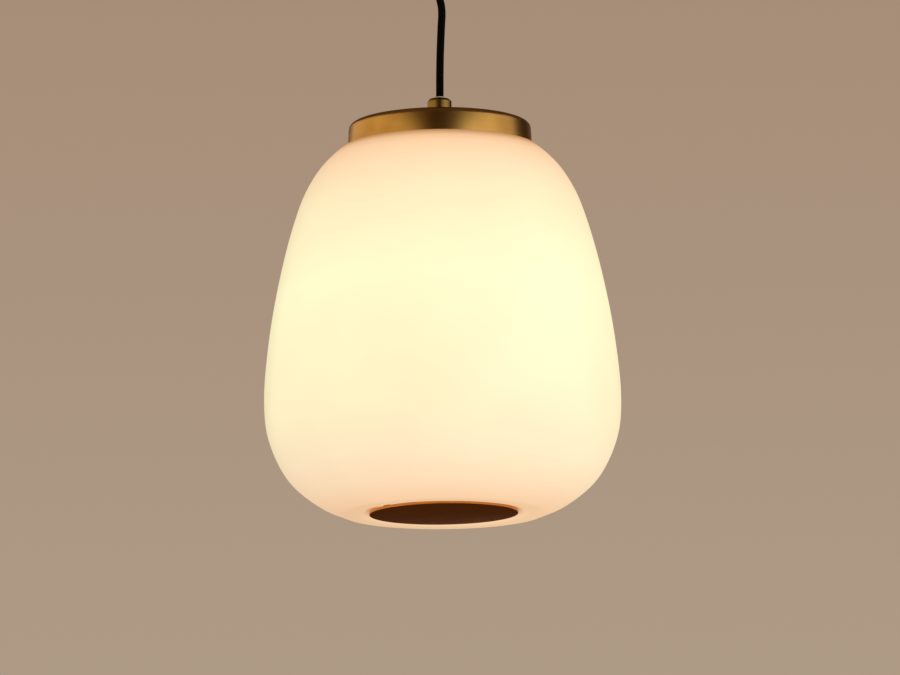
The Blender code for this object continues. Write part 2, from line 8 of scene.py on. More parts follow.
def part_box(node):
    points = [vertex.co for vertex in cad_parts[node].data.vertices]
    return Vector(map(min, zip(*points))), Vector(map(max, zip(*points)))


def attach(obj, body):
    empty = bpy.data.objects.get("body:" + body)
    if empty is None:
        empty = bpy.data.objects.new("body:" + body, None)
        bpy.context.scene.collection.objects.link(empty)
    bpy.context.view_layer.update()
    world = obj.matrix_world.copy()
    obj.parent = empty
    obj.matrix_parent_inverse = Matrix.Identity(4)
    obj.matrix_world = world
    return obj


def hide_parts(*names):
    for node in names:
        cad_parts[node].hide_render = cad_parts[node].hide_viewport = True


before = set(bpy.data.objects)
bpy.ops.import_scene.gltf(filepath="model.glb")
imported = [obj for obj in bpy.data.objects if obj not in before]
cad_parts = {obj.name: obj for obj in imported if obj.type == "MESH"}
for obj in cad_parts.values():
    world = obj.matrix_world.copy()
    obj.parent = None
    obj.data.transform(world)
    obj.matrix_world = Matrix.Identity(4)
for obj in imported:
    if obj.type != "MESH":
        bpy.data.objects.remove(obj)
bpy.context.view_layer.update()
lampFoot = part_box("bottom_disc")[0].z  # heights in the lamp are counted up from here

# colours are shown as they are lit, so that warm glass keeps its yellow
bpy.context.scene.view_settings.view_transform = "Standard"


def linkObject(name, data):
    piece = bpy.data.objects.new(name, data)
    bpy.context.scene.collection.objects.link(piece)
    return piece


# camera
cameraSetup = {
    "distance": 5.8,  # metres in front of the lamp
    "underLamp": 0.89,  # how far the lens is below the lamp's foot
    "aimHeight": 0.1396,  # the middle of the view, above the lamp's foot
    "aimSide": 0.0063,  # and to the right of its axis
    "lens": 300.0,
    "sensor": 36.0,
    "reach": 200.0,  # nothing further off is drawn
    "lean": 0.62,  # degrees that the lamp leans to the left in the view
}


def makeCamera(setup):
    lens = bpy.data.cameras.new("camera")
    lens.lens = setup["lens"]
    lens.sensor_width = setup["sensor"]
    lens.clip_end = setup["reach"]
    camera = linkObject("camera", lens)
    camera.location = (0, -setup["distance"], lampFoot - setup["underLamp"])
    aim = Vector((setup["aimSide"], 0, lampFoot + setup["aimHeight"]))
    look = (aim - camera.location).to_track_quat("-Z", "Y").to_matrix()
    roll = Matrix.Rotation(math.radians(-setup["lean"]), 3, "Z")
    camera.rotation_euler = (look @ roll).to_euler()
    bpy.context.scene.camera = camera


makeCamera(cameraSetup)
print("camera placed")


# shaping
sharpFrom = 32.0  # degrees between two faces at which their edge stays crisp


def smoothShading(mesh):
    mesh.shade_smooth()
    mesh.set_sharp_from_angle(angle=math.radians(sharpFrom))


# a smooth line through the points, spaced by the square root of their distances
def smoothLine(points, perSpan):
    marks = [Vector(point) for point in points]
    ends = [2 * marks[0] - marks[1], *marks, 2 * marks[-1] - marks[-2]]
    line = []
    for index in range(1, len(ends) - 2):
        a, b, c, d = ends[index - 1 : index + 3]
        knots = [0.0]
        for near, far in ((a, b), (b, c), (c, d)):
            knots.append(knots[-1] + math.sqrt((far - near).length))
        for step in range(perSpan):
            t = knots[1] + (knots[2] - knots[1]) * step / perSpan
            ab = a.lerp(b, (t - knots[0]) / (knots[1] - knots[0]))
            bc = b.lerp(c, (t - knots[1]) / (knots[2] - knots[1]))
            cd = c.lerp(d, (t - knots[2]) / (knots[3] - knots[2]))
            abc = ab.lerp(bc, (t - knots[0]) / (knots[2] - knots[0]))
            bcd = bc.lerp(cd, (t - knots[1]) / (knots[3] - knots[1]))
            line.append(abc.lerp(bcd, (t - knots[1]) / (knots[2] - knots[1])))
    line.append(marks[-1])
    return [tuple(point) for point in line]


# an outline in mm whose corners are (radius, height, rounding); both ends on the axis make it open
def rounded(corners, steps=6):
    count = len(corners)
    isOpen = corners[0][0] == 0
    outline = []
    for index, (radius, height, rounding) in enumerate(corners):
        here = Vector((radius, height))
        atEnd = isOpen and index in (0, count - 1)
        if rounding == 0 or atEnd:
            outline.append(tuple(here))
            continue
        back = (Vector(corners[index - 1][:2]) - here).normalized()
        ahead = (Vector(corners[(index + 1) % count][:2]) - here).normalized()
        half = back.angle(ahead) / 2
        centre = here + (back + ahead).normalized() * (rounding / math.sin(half))
        first = here + back * (rounding / math.tan(half)) - centre
        last = here + ahead * (rounding / math.tan(half)) - centre
        for step in range(steps + 1):
            turned = first.normalized().slerp(last.normalized(), step / steps)
            outline.append(tuple(centre + turned * first.length))
    return outline


def arc(centre, radius, start, end, count):
    points = []
    for step in range(count + 1):
        angle = math.radians(start + (end - start) * step / count)
        points.append((centre[0] + radius * math.cos(angle), centre[1] + radius * math.sin(angle)))
    return points


# spins an outline in mm about the Z axis, its heights counted from base; swell adds to a point's radius
def turnedMesh(name, outline, base, sides, swell=None):
    shape = bmesh.new()
    rings = []
    for radius, height in outline:
        level = base + height * 0.001
        if radius < 0.0001:
            rings.append([shape.verts.new((0, 0, level))] * sides)
            continue
        angles = [math.tau * side / sides for side in range(sides)]
        ring = []
        for angle in angles:
            reach = (radius + (swell(radius, height, angle) if swell else 0)) * 0.001
            ring.append(shape.verts.new((reach * math.cos(angle), reach * math.sin(angle), level)))
        rings.append(ring)
    isOpen = outline[0][0] < 0.0001
    for index in range(len(rings) - 1 if isOpen else len(rings)):
        upper = rings[index]
        lower = rings[(index + 1) % len(rings)]
        for side in range(sides):
            after = (side + 1) % sides
            corners = dict.fromkeys((upper[side], lower[side], lower[after], upper[after]))
            if len(corners) > 2:
                shape.faces.new(list(corners))
    bmesh.ops.recalc_face_normals(shape, faces=shape.faces)
    mesh = bpy.data.meshes.new(name)
    shape.to_mesh(mesh)
    shape.free()
    smoothShading(mesh)
    return mesh


def turnedPiece(name, outline, base, sides, swell=None):
    return linkObject(name, turnedMesh(name, outline, base, sides, swell))


def rodMesh(name, radius, length, sides=32):
    end = length / 2
    return turnedMesh(name, [(0, end), (radius, end), (radius, -end), (0, -end)], 0, sides)


def boxMesh(name, size):
    shape = bmesh.new()
    stretch = Matrix.Diagonal((*[side * 0.001 for side in size], 1))
    bmesh.ops.create_cube(shape, size=1.0, matrix=stretch)
    mesh = bpy.data.meshes.new(name)
    shape.to_mesh(mesh)
    shape.free()
    return mesh


# an outline's points moved inward by the wall, for a blown or pressed shell
def offsetInward(outline, wall):
    inside = []
    for index, point in enumerate(outline):
        before = Vector(outline[max(index - 1, 0)])
        after = Vector(outline[min(index + 1, len(outline) - 1)])
        along = (after - before).normalized()
        inside.append(tuple(Vector(point) + Vector((along.y, -along.x)) * wall))
    return inside


# cuts a tool's shape out of the piece and throws the tool away
def drill(piece, toolMesh, at, turn=(0, 0, 0)):
    tool = linkObject("tool", toolMesh)
    tool.location = at
    tool.rotation_euler = Euler([math.radians(angle) for angle in turn])
    hole = piece.modifiers.new("hole", "BOOLEAN")
    hole.operation = "DIFFERENCE"
    hole.object = tool
    bpy.context.view_layer.update()
    cut = piece.evaluated_get(bpy.context.evaluated_depsgraph_get())
    drilled = bpy.data.meshes.new_from_object(cut)
    piece.modifiers.clear()
    piece.data = drilled
    bpy.data.objects.remove(tool)
    smoothShading(drilled)


# rounds the edges sharper than the angle
def softenEdges(piece, width, segments, angle):
    edges = piece.modifiers.new("soft_edges", "BEVEL")
    edges.width = width * 0.001
    edges.segments = segments
    edges.limit_method = "ANGLE"
    edges.angle_limit = math.radians(angle)


# gives a piece its finish, and the body and CAD nodes that it stands for
def fit(piece, body, finish, slot, *nodes):
    piece.data.materials.clear()
    piece.data.materials.append(finish)
    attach(piece, body)
    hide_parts(*nodes)


# material building
def hexToLinear(code):
    shares = [int(code[index : index + 2], 16) / 255 for index in (1, 3, 5)]
    return (*[((s + 0.055) / 1.055) ** 2.4 if s > 0.04045 else s / 12.92 for s in shares], 1.0)


def addNode(tree, kind, inputs=None, **settings):
    node = tree.nodes.new(kind)
    for name, value in settings.items():
        setattr(node, name, value)
    for name, value in (inputs or {}).items():
        if isinstance(value, bpy.types.NodeSocket):
            tree.links.new(value, node.inputs[name])
        else:
            node.inputs[name].default_value = value
    return node


def newMaterial(name):
    material = bpy.data.materials.new(name)
    material.use_nodes = True
    material.node_tree.nodes.clear()
    return material, material.node_tree


def coatSurface(tree, inputs):
    surface = addNode(tree, "ShaderNodeBsdfPrincipled", inputs)
    addNode(tree, "ShaderNodeOutputMaterial", {"Surface": surface.outputs["BSDF"]})


def objectPlace(tree):
    return addNode(tree, "ShaderNodeTexCoord").outputs["Object"]


def objectAxes(tree):
    return addNode(tree, "ShaderNodeSeparateXYZ", {"Vector": objectPlace(tree)}).outputs


# the way out from the lamp's axis, and how far that is
def fromAxis(tree, axes):
    way = addNode(tree, "ShaderNodeCombineXYZ", {"X": axes["X"], "Y": axes["Y"]}).outputs["Vector"]
    far = addNode(tree, "ShaderNodeVectorMath", {0: way}, operation="LENGTH").outputs["Value"]
    return way, far


# distance from the lamp's axis, and height: a pattern read at this place runs round the turned piece
def turnedPlace(tree):
    axes = objectAxes(tree)
    far = fromAxis(tree, axes)[1]
    return addNode(tree, "ShaderNodeCombineXYZ", {"X": far, "Z": axes["Z"]}).outputs["Vector"]


def multiply(tree, first, second):
    return addNode(tree, "ShaderNodeMath", {0: first, 1: second}, operation="MULTIPLY").outputs["Value"]


def noise(tree, place, grainMm, detail=3.0, roughness=0.5):
    inputs = {"Vector": place, "Scale": 1000.0 / grainMm, "Detail": detail, "Roughness": roughness}
    return addNode(tree, "ShaderNodeTexNoise", inputs).outputs["Fac"]


# maps a value from one span to another; the first span is where most of a noise lies
def spreadTo(tree, value, low, high, fromLow=0.3, fromHigh=0.7):
    inputs = {"Value": value, "From Min": fromLow, "From Max": fromHigh, "To Min": low, "To Max": high}
    return addNode(tree, "ShaderNodeMapRange", inputs).outputs["Result"]


# 6 and 7 are the colour sockets of the mix node, and 2 is its colour result
def blendColours(tree, share, first, second):
    first, second = [hexToLinear(tone) if isinstance(tone, str) else tone for tone in (first, second)]
    inputs = {"Factor": share, 6: first, 7: second}
    return addNode(tree, "ShaderNodeMix", inputs, data_type="RGBA").outputs[2]


def bump(tree, height, strength, depthMm):
    inputs = {"Height": height, "Strength": strength, "Distance": depthMm * 0.001}
    return addNode(tree, "ShaderNodeBump", inputs).outputs["Normal"]


# materials
brassLook = {
    "colour": "#C9964D",
    "darker": "#B98442",
    "patinaMm": 28.0,  # soft tone changes in the lacquer
    "lineMm": 0.9,  # lathe lines are nearer 0.1 mm, drawn as wide as they still show
    "lineRelief": (0.12, 0.05),  # strength and depth in mm
    "roughness": (0.27, 0.34),
}
discLook = {
    "colour": "#D2904E",
    "darker": "#C68644",
    "patinaMm": 22.0,
    "lineMm": 0.9,
    "lineRelief": (0.12, 0.05),
    "roughness": (0.3, 0.38),
}
gripLook = {
    "colour": "#94703A",
    "darker": "#86632F",
    "patinaMm": 9.0,
    "lineMm": 0.6,
    "lineRelief": (0.12, 0.05),
    "roughness": (0.3, 0.38),
}


# brass, turned and satin lacquered: soft stretched reflections and faint rings round the axis
def satinBrass(name, look):
    material, tree = newMaterial(name)
    rings = noise(tree, turnedPlace(tree), look["lineMm"], 4.0, 0.6)
    patina = noise(tree, objectPlace(tree), look["patinaMm"], 2.0)
    tone = spreadTo(tree, patina, 0.0, 1.0, 0.35, 0.65)
    coatSurface(tree, {
        "Base Color": blendColours(tree, tone, look["colour"], look["darker"]),
        "Metallic": 1.0,
        "Roughness": spreadTo(tree, rings, *look["roughness"]),
        "Normal": bump(tree, rings, *look["lineRelief"]),
    })
    return material


opalLook = {
    # height above the lamp's foot in mm, and what the lit glass shows there; the top stops darken it into a
    # painted shade under the cap's rim
    "glow": [
        (-0.6, "#F6CDA3"),
        (3.0, "#F9D2AB"),
        (13.0, "#FBDCB6"),
        (30.0, "#FCE5C0"),
        (64.0, "#FCEDC3"),
        (110.0, "#FDF2C6"),
        (170.0, "#FEF9CB"),
        (205.0, "#FEF2C5"),
        (240.0, "#FCE9BC"),
        (264.0, "#FCDAB0"),
        (280.0, "#F8CDA1"),
        (285.5, "#EDBC8E"),
        (288.5, "#D09A66"),
        (291.3, "#A87242"),
    ],
    "seat": "#D8955A",  # painted shade in the crease by the bottom disc and under the cap's ring
    "creaseShadeEdge": (0.0575, 0.0635),  # between these distances from the axis the painted shade turns into the glow
    "body": "#5E5850",
    "insideShare": 0.75,  # the inside is drawn dimmer, so that the bulb stands out when the disc is off
    "insideWhen": (-0.05, -0.035),  # the normal along the way out from the axis: below zero it faces inward
    "cloudMm": 60.0,
    "cloudGain": (1.01, 1.04),
    "rightGain": 0.055,  # the bulb sits a little to the right, so that side is brighter
    "roughness": 0.33,
}


# opal glass, blown in a mould and lit from inside: an even milky glow, yellower by the bulb, painted shade
# under the cap and in the crease by the disc, and a soft sheen
def opalGlass():
    material, tree = newMaterial("opal_blown_glass")
    axes = objectAxes(tree)
    levels = [level for level, colour in opalLook["glow"]]
    lowest, highest = levels[0], levels[-1]
    glassFoot, glassTop = [lampFoot + level * 0.001 for level in (lowest, highest)]
    height = spreadTo(tree, axes["Z"], 0.0, 1.0, glassFoot, glassTop)
    ramp = addNode(tree, "ShaderNodeValToRGB", {"Fac": height})
    stops = ramp.color_ramp.elements
    while len(stops) < len(levels):
        stops.new(0.5)
    for stop, (level, colour) in zip(stops, opalLook["glow"]):
        stop.position = (level - lowest) / (highest - lowest)
        stop.color = hexToLinear(colour)
    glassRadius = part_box("glass_shade")[1].x
    gain = opalLook["rightGain"]
    side = spreadTo(tree, axes["X"], 1 - gain, 1 + gain, -glassRadius, glassRadius)
    way, far = fromAxis(tree, axes)
    clearOfCreaseShade = spreadTo(tree, far, 0.0, 1.0, *opalLook["creaseShadeEdge"])
    # the glow, with a painted shade near the axis: in the crease by the disc and under the cap's ring
    glow = blendColours(tree, clearOfCreaseShade, opalLook["seat"], ramp.outputs["Color"])
    cloud = spreadTo(tree, noise(tree, objectPlace(tree), opalLook["cloudMm"], 1.0), *opalLook["cloudGain"])
    facing = addNode(tree, "ShaderNodeTexCoord").outputs["Normal"]
    outward = addNode(tree, "ShaderNodeVectorMath", {0: facing, 1: way}, operation="DOT_PRODUCT")
    wall = spreadTo(tree, outward.outputs["Value"], opalLook["insideShare"], 1.0, *opalLook["insideWhen"])
    coatSurface(tree, {
        "Base Color": hexToLinear(opalLook["body"]),
        "Roughness": opalLook["roughness"],
        "Specular IOR Level": 0.0,
        "Coat Weight": 0.5,
        "Coat IOR": 1.5,
        "Coat Roughness": opalLook["roughness"],
        "Emission Color": glow,
        "Emission Strength": multiply(tree, multiply(tree, side, cloud), wall),
    })
    return material


flexLook = {
    "colour": "#070907",
    "lighter": "#0B0C09",
    "grainMm": 0.7,
    "roughness": (0.7, 0.8),
    "shine": 1.15,  # refractive index, below PVC's own, so that the sheath stays dull
}


# soft PVC sheath, extruded: near black with a dull skin
def blackFlex(look):
    material, tree = newMaterial("black_pvc_flex")
    grain = noise(tree, objectPlace(tree), look["grainMm"], 3.0)
    coatSurface(tree, {
        "Base Color": blendColours(tree, grain, look["colour"], look["lighter"]),
        "Roughness": spreadTo(tree, grain, *look["roughness"]),
        "IOR": look["shine"],
        "Normal": bump(tree, grain, 0.2, 0.05),
    })
    return material


# a moulded or glazed piece of one colour: a faint mottle and an uneven skin
def mouldedFinish(name, colour, darker, roughness, grainMm, coat=0.0):
    material, tree = newMaterial(name)
    grain = noise(tree, objectPlace(tree), grainMm, 3.0)
    coatSurface(tree, {
        "Base Color": blendColours(tree, grain, colour, darker),
        "Roughness": spreadTo(tree, grain, *roughness),
        "IOR": 1.5,
        "Coat Weight": coat,
        "Coat Roughness": 0.08,
        "Normal": bump(tree, grain, 0.15, 0.08),
    })
    return material


# a metal with its grain: plated steel, rolled bronze or drawn wire
def metalFinish(name, colour, darker, roughness, grainMm):
    material, tree = newMaterial(name)
    grain = noise(tree, objectPlace(tree), grainMm, 4.0, 0.6)
    coatSurface(tree, {
        "Base Color": blendColours(tree, grain, colour, darker),
        "Metallic": 1.0,
        "Roughness": spreadTo(tree, grain, *roughness),
        "Normal": bump(tree, grain, 0.1, 0.03),
    })
    return material


earthLook = {
    "colours": ("#2E7D32", "#E3C53A"),
    "stripes": 140.0,  # in a metre
    "roughness": (0.4, 0.5),
}


# PVC core with a stripe along it: green with yellow, as earth wires have
def stripedCore(look):
    material, tree = newMaterial("green_yellow_pvc")
    place = objectPlace(tree)
    inputs = {"Vector": place, "Scale": look["stripes"], "Distortion": 1.0}
    stripe = addNode(tree, "ShaderNodeTexWave", inputs, bands_direction="Z").outputs["Fac"]
    edge = spreadTo(tree, stripe, 0.0, 1.0, 0.45, 0.55)
    coatSurface(tree, {
        "Base Color": blendColours(tree, edge, *look["colours"]),
        "Roughness": spreadTo(tree, noise(tree, place, 0.8), *look["roughness"]),
    })
    return material


bulbLook = {
    "body": "#EFE9DC",
    "glow": ("#FFE9BE", "#FFC98C"),  # at its crown and at its base
    "strength": (2.6, 0.6),
    "roughness": 0.35,
}


# bulb glass, etched inside: a bright warm face, a little darker towards the base
def frostedBulb(look):
    material, tree = newMaterial("frosted_bulb_glass")
    low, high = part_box("bulb_globe")
    height = spreadTo(tree, objectAxes(tree)["Z"], 0.0, 1.0, low.z, high.z)
    coatSurface(tree, {
        "Base Color": hexToLinear(look["body"]),
        "Roughness": look["roughness"],
        "IOR": 1.5,
        "Emission Color": blendColours(tree, height, *look["glow"]),
        "Emission Strength": spreadTo(tree, height, *look["strength"], 0.0, 1.0),
    })
    return material


brass = satinBrass("satin_lacquered_brass", brassLook)
discBrass = satinBrass("satin_brass_disc", discLook)
gripBrass = satinBrass("darkened_turned_brass", gripLook)
opal = opalGlass()
flex = blackFlex(flexLook)
frosted = frostedBulb(bulbLook)
nylon = mouldedFinish("natural_nylon", "#D9D3C2", "#CDC6B4", (0.38, 0.48), 2.0)
phenolic = mouldedFinish("black_phenolic", "#171513", "#1D1A17", (0.3, 0.4), 1.5)
porcelain = mouldedFinish("glazed_porcelain", "#EBE7DC", "#E2DDD0", (0.25, 0.32), 3.0, 0.6)
silicone = mouldedFinish("white_silicone", "#D8D4CA", "#CFCABF", (0.6, 0.72), 1.2)
brownCore = mouldedFinish("brown_pvc", "#5B3018", "#4E2813", (0.42, 0.5), 0.8)
blueCore = mouldedFinish("blue_pvc", "#2A5DA8", "#23529A", (0.42, 0.5), 0.8)
earthCore = stripedCore(earthLook)
clearGlass = mouldedFinish("clear_stem_glass", "#C9D2D0", "#C2CCCA", (0.08, 0.14), 2.0)
zincSteel = metalFinish("zinc_plated_steel", "#B9BAB6", "#A6A7A2", (0.32, 0.45), 1.6)
machinedBrass = metalFinish("machined_brass", "#D9B56C", "#CBA45A", (0.22, 0.32), 0.8)
springBronze = metalFinish("rolled_spring_bronze", "#C79A66", "#B98A57", (0.3, 0.42), 0.9)
tungsten = metalFinish("drawn_tungsten", "#8E8B88", "#7E7B78", (0.35, 0.45), 0.5)
print("materials made:", len(bpy.data.materials))


# cord
# height below the ceiling and sideways set, in metres, from the canopy's grip down to the lamp's grip
cordShape = {
    "route": [
        (-0.0495, 0.0),
        (-0.0530, 0.0003),
        (-0.0580, 0.0014),
        (-0.0635, 0.0024),
        (-0.0700, 0.0026),
        (-0.0780, 0.0021),
        (-0.0917, 0.0014),
        (-0.1040, 0.0009),
        (-0.1200, 0.0005),
        (-0.1364, 0.0003),
    ],
    "diameter": 0.006,
    "length": 0.087,
    "into": 0.0005,  # how far its end goes into the collet
}


def makeCord(shape):
    line = bpy.data.curves.new("power_flex", "CURVE")
    line.dimensions = "3D"
    line.bevel_depth = shape["diameter"] / 2
    line.bevel_resolution = 8
    line.use_fill_caps = True
    points = smoothLine([(offset, 0, height) for height, offset in shape["route"]], 5)
    points.append((points[-1][0], 0, points[-1][2] - shape["into"]))
    spline = line.splines.new("POLY")
    spline.points.add(len(points) - 1)
    for point, place in zip(spline.points, points):
        point.co = (*place, 1.0)
    cord = linkObject("power_flex", line)
    fit(cord, "cord", flex, "black_cord_jacket", "power_cord", "power_cord_bend")


makeCord(cordShape)
print("cord made")


# glass shade
shadeShape = {
    # outside of the glass, radius and height in mm, from the shoulder down to the foot
    "side": [
        (77.0, 291.0),
        (85.6, 283.5),
        (95.4, 273.0),
        (106.4, 255.0),
        (115.8, 230.0),
        (127.2, 186.0),
        (136.2, 135.0),
        (140.0, 87.0),
        (136.6, 59.0),
        (121.7, 28.0),
        (98.1, 8.0),
        (79.0, -0.6),
    ],
    "top": [(21.0, 291.3), (75.0, 291.3)],
    "foot": [(70.0, -0.6), (66.0, -0.38), (63.0, 0.9), (60.0, 2.3), (54.5, 2.6)],
    "wall": 3.5,
    "firePolish": 0.8,
    "sides": 192,
}


def makeShade(shape):
    side = smoothLine(shape["side"], 8)
    outside = shape["top"] + side + smoothLine([side[-1], *shape["foot"]], 4)[1:]
    outline = outside + offsetInward(outside, shape["wall"])[::-1]
    shade = turnedPiece("opal_shade", outline, lampFoot, shape["sides"])
    softenEdges(shade, shape["firePolish"], 3, 50)
    fit(shade, "lamp", opal, "opal_glass", "glass_shade")


makeShade(shadeShape)
print("shade blown")


# brass cap and cord grip
capShape = {
    "corners": [
        (5.3, 310.4, 0.2),
        (71.7, 310.4, 4.5),
        (72.7, 291.6, 0.35),
        (71.5, 291.6, 0.35),
        (70.5, 309.2, 3.3),
        (5.3, 309.2, 0.2),
    ],
    "sides": 160,
}
gripShape = {
    "corners": [
        (4.5, 330.8, 0.2),
        (7.6, 330.8, 0.8),
        (9.5, 328.9, 0.8),
        (9.5, 310.45, 0.15),
        (5.3, 310.45, 0.0),
        (5.3, 319.7, 0.0),
        (6.3, 319.7, 0.0),
        (6.3, 328.6, 0.0),
        (4.5, 330.3, 0.0),
    ],
    "screwAt": (9.0, 323.7),  # the middle of the screw hole, behind the axis and above the lamp's foot
    "screwHole": 1.8,
    "sides": 96,
}
colletShape = {
    "corners": [
        (4.2, 332.4, 0.35),
        (4.2, 330.0, 0.0),
        (6.0, 328.2, 0.0),
        (6.0, 320.0, 0.0),
        (3.35, 320.0, 0.0),
        (3.35, 332.4, 0.2),
    ],
    "sides": 64,
}


def makeCap(shape):
    cap = turnedPiece("brass_cap", rounded(shape["corners"], 10), lampFoot, shape["sides"])
    fit(cap, "lamp", brass, "aged_brass", "shade_cap")


# a hole for a grub screw in the back of a cord grip; at is in mm
def drillForScrew(grip, radius, at, base):
    behind, height = at
    drill(grip, rodMesh("screw_hole", radius, 8), (0, behind * 0.001, base + height * 0.001), (90, 0, 0))


def makeGrip(shape, sleeve):
    grip = turnedPiece("grip_barrel", rounded(shape["corners"]), lampFoot, shape["sides"])
    drillForScrew(grip, shape["screwHole"], shape["screwAt"], lampFoot)
    fit(grip, "lamp", gripBrass, "aged_brass", "cord_grip")
    collet = turnedPiece("collet_sleeve", rounded(sleeve["corners"]), lampFoot, sleeve["sides"])
    fit(collet, "lamp", nylon, "natural_nylon", "cord_grip_collet")


makeCap(capShape)
makeGrip(gripShape, colletShape)
print("cap and grip made")


# bottom disc and its spring clips
discShape = {
    "corners": [(0, 2.3, 0), (58.3, 2.3, 0.25), (58.3, 0.0, 0.25), (0, 0.0, 0)],
    "sides": 160,
    # the plate hangs a touch low on its clips, most at its front left
    "droop": 0.7,
    "tilt": (0.5, -0.35),
}
clipShape = {
    "bend": [(37.6, 2.6), (49.6, 2.6), (52.4, 3.8), (53.6, 7.6), (53.6, 12.6), (50.1, 19.6)],  # middle line
    "thick": 0.6,
    "width": 8.0,
    "rolledEdge": 0.18,
    "turns": [90, 210, 330],
}


def makeDisc(shape):
    plate = turnedPiece("disc_plate", rounded(shape["corners"]), 0, shape["sides"])
    plate.location.z = lampFoot - shape["droop"] * 0.001
    plate.rotation_euler = (*[math.radians(angle) for angle in shape["tilt"]], 0)
    fit(plate, "disc", discBrass, "shaded_brass", "bottom_disc")


# a strip bent along its middle line, with rounded edges
def makeClip(number, turn, shape):
    middle = smoothLine(shape["bend"], 6)
    upper = offsetInward(middle, shape["thick"] / 2)
    lower = offsetInward(middle, -shape["thick"] / 2)
    loop = upper + lower[::-1]
    count = len(loop)
    points = []
    for side in (-1, 1):
        across = side * shape["width"] / 2 * 0.001
        points += [(reach * 0.001, across, lampFoot + height * 0.001) for reach, height in loop]
    faces = []
    for index in range(count):
        after = (index + 1) % count
        faces.append((index, after, count + after, count + index))
    for start in (0, count):
        for index in range(count // 2 - 1):
            far = start + count - 1 - index
            faces.append((start + index, start + index + 1, far - 1, far))
    mesh = bpy.data.meshes.new(f"spring_clip_{number}")
    mesh.from_pydata(points, [], faces)
    strip = bmesh.new()
    strip.from_mesh(mesh)
    bmesh.ops.recalc_face_normals(strip, faces=strip.faces)
    strip.to_mesh(mesh)
    strip.free()
    smoothShading(mesh)
    clip = linkObject(f"spring_clip_{number}", mesh)
    clip.rotation_euler = (0, 0, math.radians(turn))
    softenEdges(clip, shape["rolledEdge"], 2, 60)
    fit(clip, "disc", springBronze, "spring_bronze", f"disc_clip_{number}")


makeDisc(discShape)
for number, turn in enumerate(clipShape["turns"], 1):
    makeClip(number, turn, clipShape)
print("disc made")


# ceiling canopy, its cord grip and side screws
canopyShape = {
    "corners": [
        (55.0, -0.3, 0.3),
        (55.0, -38.0, 5.0),
        (5.3, -38.0, 0.2),
        (5.3, -36.8, 0.2),
        (53.8, -36.8, 3.8),
        (53.8, -0.3, 0.3),
    ],
    "screwHeight": -10.0,
    "screwHole": 2.3,
    "sides": 160,
}
canopyGripShape = {
    "corners": [
        (4.95, -28.5, 0.2),
        (4.95, -38.3, 0.0),
        (8.0, -38.3, 0.3),
        (8.0, -48.5, 0.6),
        (6.5, -50.0, 0.6),
        (4.2, -50.0, 0.3),
        (3.4, -49.2, 0.3),
        (3.4, -28.5, 0.2),
    ],
    "screwAt": (7.0, -44.0),
    "screwHole": 1.8,
    "sides": 96,
}
sideScrewShape = {
    "corners": [
        (0, 3.2, 0),
        (2.6, 3.2, 0.8),
        (4.0, 2.2, 0.5),
        (4.0, 0.0, 0.2),
        (1.9, 0.0, 0.1),
        (1.9, -9.5, 0.3),
        (0, -9.5, 0),
    ],
    "slotWidth": 1.0,
    "slotDepth": 1.0,
    "seat": 55.3,
    "sides": 48,
}


def makeCanopy(shape):
    canopy = turnedPiece("canopy_pressing", rounded(shape["corners"], 10), 0, shape["sides"])
    holes = rodMesh("side_holes", shape["screwHole"], 120)
    drill(canopy, holes, (0, 0, shape["screwHeight"] * 0.001), (0, 90, 0))
    fit(canopy, "ceiling", brass, "aged_brass", "ceiling_canopy")


def makeCanopyGrip(shape):
    grip = turnedPiece("canopy_barrel", rounded(shape["corners"]), 0, shape["sides"])
    drillForScrew(grip, shape["screwHole"], shape["screwAt"], 0)
    fit(grip, "ceiling", gripBrass, "aged_brass", "canopy_grip")


# side is 1 for the screw on the right and -1 for the one on the left
def makeSideScrew(number, side, shape):
    screw = turnedPiece(f"side_screw_{number}", rounded(shape["corners"]), 0, shape["sides"])
    slot = boxMesh("slot", (10.0, shape["slotWidth"], 2 * shape["slotDepth"]))
    drill(screw, slot, (0, 0, shape["corners"][0][1] * 0.001))
    screw.rotation_euler = (0, math.radians(90 * side), 0)
    screw.location = (side * shape["seat"] * 0.001, 0, canopyShape["screwHeight"] * 0.001)
    fit(screw, "ceiling", brass, "aged_brass", f"canopy_screw_{number}")


makeCanopy(canopyShape)
makeCanopyGrip(canopyGripShape)
makeSideScrew(1, 1, sideScrewShape)
makeSideScrew(2, -1, sideScrewShape)
print("canopy made")


# lampholder shells and the bulb's glass and threaded base
holderShape = {
    "crown": [(8.0, 279.5), (15.0, 278.2), (19.5, 273.5), (21.0, 266.0), (21.0, 261.0), (21.0, 255.0)],
    "lining": [(19.0, 255.0), (19.0, 266.0), (17.6, 272.2), (13.8, 276.2), (5.3, 277.3), (5.3, 279.5)],
    "body": [
        (18.6, 262.0, 0.3),
        (18.6, 254.7, 0.2),
        (21.0, 254.7, 0.4),
        (20.0, 225.0, 0.8),
        (15.6, 225.0, 0.6),
        (15.6, 262.0, 0.3),
    ],
    "sides": 96,
}
bulbShape = {
    "centre": 172.0,
    "radius": 30.0,
    "neck": [(15.4, 203.0), (12.9, 211.0), (11.8, 217.5), (11.7, 222.0), (11.7, 234.6)],
    "wall": 1.0,
    "sides": 96,
}
threadShape = {
    "top": 241.0,
    "foot": 220.5,
    "middle": 12.85,
    "swell": 0.35,
    "runOut": 2.0,  # over this height it fades at both ends
    "pitch": 3.63,
    "ringsPerTurn": 12,
    "above": [(10.5, 242.6), (12.3, 242.0)],
    "below": [(12.7, 218.0), (12.2, 218.0), (12.0, 241.4), (10.5, 241.8)],
    "sides": 72,
}


